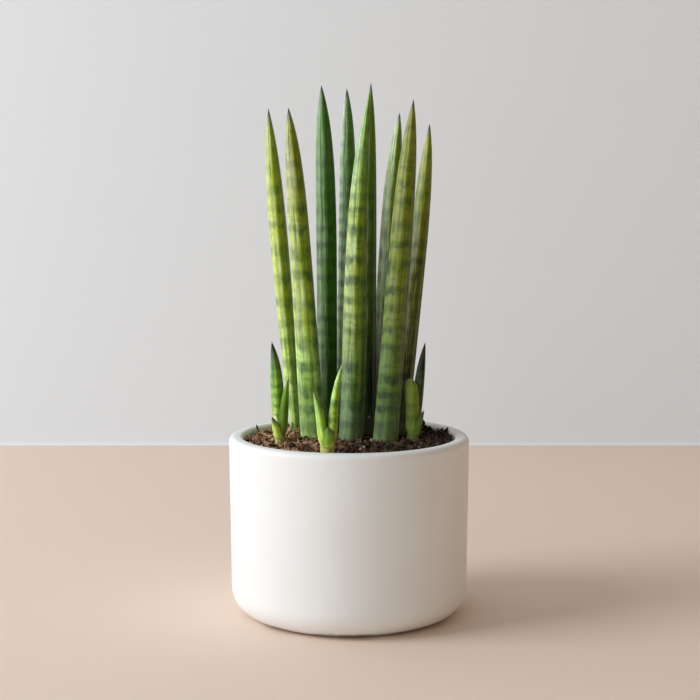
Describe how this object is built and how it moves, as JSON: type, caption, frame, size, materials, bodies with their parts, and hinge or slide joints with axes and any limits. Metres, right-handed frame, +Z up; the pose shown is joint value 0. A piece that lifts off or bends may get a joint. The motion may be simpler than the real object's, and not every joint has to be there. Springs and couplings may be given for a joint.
{
  "type": "potted cylindrical snake plant",
  "caption": "Young cylindrical snake plant: upright, round, tapering, cross-banded leaves with small offshoots, planted in soil in a plain white round ceramic pot.",
  "frame": {"origin": "on the pot's axis, at the surface that the pot stands on", "axes": "+Z up along the pot's axis, -Y towards the front of the picture, +X to its right"},
  "size_m": [0.14, 0.14, 0.3089],
  "materials": {
    "pot_ceramic": "smooth matte white, with a bare foot ring",
    "potting_soil": "crumbly brown bark and fibre mix",
    "leaf_skin": "waxy green skin with darker bands across",
    "offshoot_skin": "waxy bright green skin, pale at the base"
  },
  "bodies": {
    "root": {"pot": "pot_ceramic", "soil": "potting_soil", "leaf_1": "leaf_skin", "leaf_2": "leaf_skin", "leaf_3": "leaf_skin", "leaf_4": "leaf_skin", "leaf_5": "leaf_skin", "leaf_6": "leaf_skin", "leaf_7": "leaf_skin", "leaf_8": "leaf_skin", "leaf_9": "leaf_skin", "offshoot_left": "offshoot_skin", "offshoot_front": "offshoot_skin", "offshoot_right": "offshoot_skin"}
  },
  "joints": []
}
